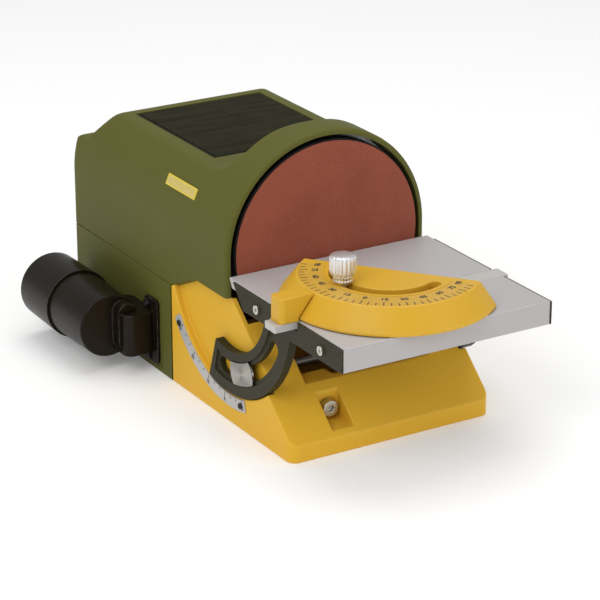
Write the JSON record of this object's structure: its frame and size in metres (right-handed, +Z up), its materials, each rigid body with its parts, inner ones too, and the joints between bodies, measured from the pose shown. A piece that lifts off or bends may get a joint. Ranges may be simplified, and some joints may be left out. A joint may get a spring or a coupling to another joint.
{
  "type": "benchtop disc sander",
  "caption": "Benchtop disc sander with a domed housing, a tilting slotted-bracket table, a sliding mitre gauge and a side dust port.",
  "frame": {"origin": "underside of the base, below the disc's axis, in the plane of the abrasive face", "axes": "+X along the table's front edge to the right seen from the front, +Y from the disc's face to the rear, +Z up"},
  "size_m": [0.2052, 0.3445, 0.1705],
  "materials": {
    "yellow_shell": "satin",
    "yellow_gauge": "satin",
    "green_shell": "satin",
    "black_rubber": "matte",
    "printed_plate": "satin",
    "aluminium_strip": "satin",
    "dark_screw": "satin",
    "zinc_screw": "satin",
    "sheet_steel": "satin",
    "black_plastic": "satin",
    "cast_aluminium": "matte",
    "bright_steel": "satin",
    "ferrite": "matte",
    "carbon": "matte",
    "core_steel": "matte",
    "copper": "satin",
    "disc_black": "satin",
    "abrasive": "matte",
    "board": "satin",
    "can_sleeve": "satin",
    "red_plastic": "gloss",
    "black_steel": "satin",
    "table_aluminium": "satin",
    "dark_casting": "satin",
    "bar_aluminium": "satin"
  },
  "bodies": {
    "sander": {"base_frame": "yellow_shell", "lower_housing": "green_shell", "upper_housing": "green_shell", "top_mat": "black_rubber", "label_plate": "printed_plate", "scale_strip": "aluminium_strip", "scale_screws": "dark_screw", "base_bolt": "zinc_screw", "case_screws": "zinc_screw", "base_screws": "zinc_screw", "bulkhead": "sheet_steel", "dust_deck": "sheet_steel", "dust_elbow": "black_plastic", "dust_sleeve": "black_plastic", "dust_port_screws": "dark_screw", "motor_can": "sheet_steel", "front_shield": "cast_aluminium", "rear_shield": "cast_aluminium", "front_bearing": "bright_steel", "rear_bearing": "bright_steel", "field_magnets": "ferrite", "brush_holders": "black_plastic", "carbon_brushes": "carbon", "motor_screws": "zinc_screw", "circuit_board": "board", "capacitor": "can_sleeve", "speed_pot": "sheet_steel", "switch_body": "black_plastic", "cord_gland": "black_rubber", "clamp_rod": "black_steel", "clamp_blocks": "bright_steel"},
    "disc_spindle": {"motor_shaft": "bright_steel", "rotor_core": "core_steel", "commutator": "copper", "cooling_fan": "black_plastic", "disc_plate": "disc_black", "abrasive_disc": "abrasive", "hub_grub_screw": "zinc_screw"},
    "tilting_table": {"table_plate": "table_aluminium", "left_bracket": "dark_casting", "right_bracket": "dark_casting", "bracket_screws": "zinc_screw"},
    "gauge_slide": {"guide_bar": "bar_aluminium", "pointer_block": "yellow_gauge", "gauge_pivot_pin": "bright_steel", "gauge_stud": "bright_steel"},
    "gauge_head": {"protractor": "yellow_gauge"},
    "gauge_lock": {"gauge_knob": "bright_steel"},
    "tilt_lock": {"tilt_clamp_knob": "black_plastic"},
    "speed_control": {"speed_dial": "black_plastic", "pot_shaft": "bright_steel"},
    "power_switch": {"power_rocker": "red_plastic"}
  },
  "joints": [
    {"name": "disc_spin", "type": "hinge", "parent": "sander", "child": "disc_spindle", "pos_m": [0, 0, 0.101], "axis": [0, 1, 0], "continuous": true},
    {"name": "table_tilt", "type": "hinge", "parent": "sander", "child": "tilting_table", "pos_m": [0, -0.002, 0.0928], "axis": [1, 0, 0], "range_deg": [-15, 38]},
    {"name": "tilt_clamp_turn", "type": "hinge", "parent": "sander", "child": "tilt_lock", "pos_m": [0.08, -0.01904, 0.03705], "axis": [1, 0, 0], "range_deg": [-180, 180]},
    {"name": "mitre_slide", "type": "slide", "parent": "tilting_table", "child": "gauge_slide", "axis": [1, 0, 0], "range_m": [-0.045, 0.045]},
    {"name": "mitre_swing", "type": "hinge", "parent": "gauge_slide", "child": "gauge_head", "pos_m": [-0.006, -0.076, 0.0928], "axis": [0, 0, 1], "range_deg": [-99, 21]},
    {"name": "gauge_knob_turn", "type": "hinge", "parent": "gauge_slide", "child": "gauge_lock", "pos_m": [-0.037, -0.076, 0.1128], "axis": [0, 0, 1], "range_deg": [-180, 180]},
    {"name": "speed_dial_turn", "type": "hinge", "parent": "sander", "child": "speed_control", "pos_m": [0.075, 0.118, 0.082], "axis": [1, 0, 0], "range_deg": [-135, 135]},
    {"name": "power_rocker_tip", "type": "hinge", "parent": "sander", "child": "power_switch", "pos_m": [0.0695, 0.088, 0.082], "axis": [0, 1, 0], "range_deg": [-8, 8]}
  ]
}
